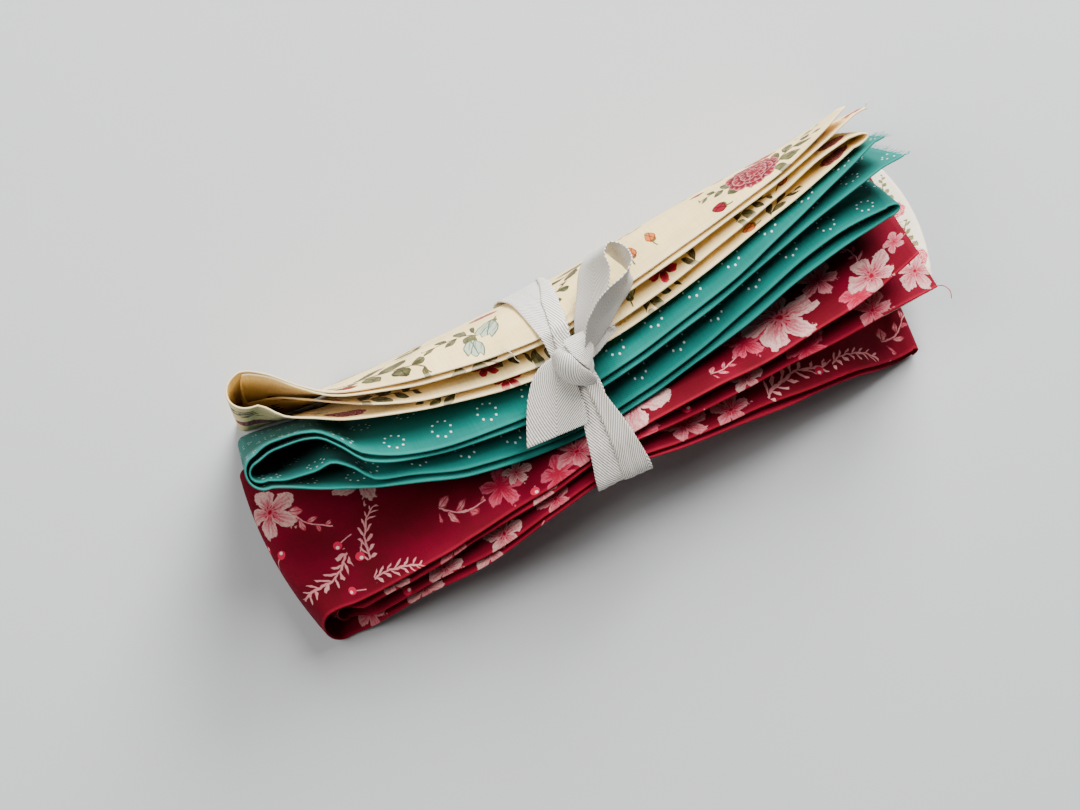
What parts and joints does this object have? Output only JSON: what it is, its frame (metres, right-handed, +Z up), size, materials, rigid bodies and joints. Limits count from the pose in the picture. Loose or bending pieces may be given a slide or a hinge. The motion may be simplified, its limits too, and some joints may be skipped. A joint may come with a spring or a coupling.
{
  "type": "fabric bundle",
  "caption": "Bundle of folded printed cottons standing on their long edges and fanning over, tied round the middle with a twill tape in a half bow.",
  "frame": {"origin": "bottom centre of the bundle's box, on the surface that it rests on", "axes": "+X along the bundle towards its raw ends, +Y from the red cloth towards the cream one, +Z up"},
  "size_m": [0.25, 0.09, 0.082],
  "materials": {
    "cream_cotton": "plain woven cotton with a printed floral",
    "teal_cotton": "plain woven cotton with rings of white dots",
    "red_cotton": "plain woven cotton with a pale printed floral",
    "white_cotton": "plain woven cotton with a small printed floral",
    "twill_tape": "herringbone twill"
  },
  "bodies": {
    "root": {"cloth_cream": "cream_cotton", "cloth_teal": "teal_cotton", "cloth_red": "red_cotton", "cloth_white": "white_cotton", "tape_tie": "twill_tape"}
  },
  "joints": []
}
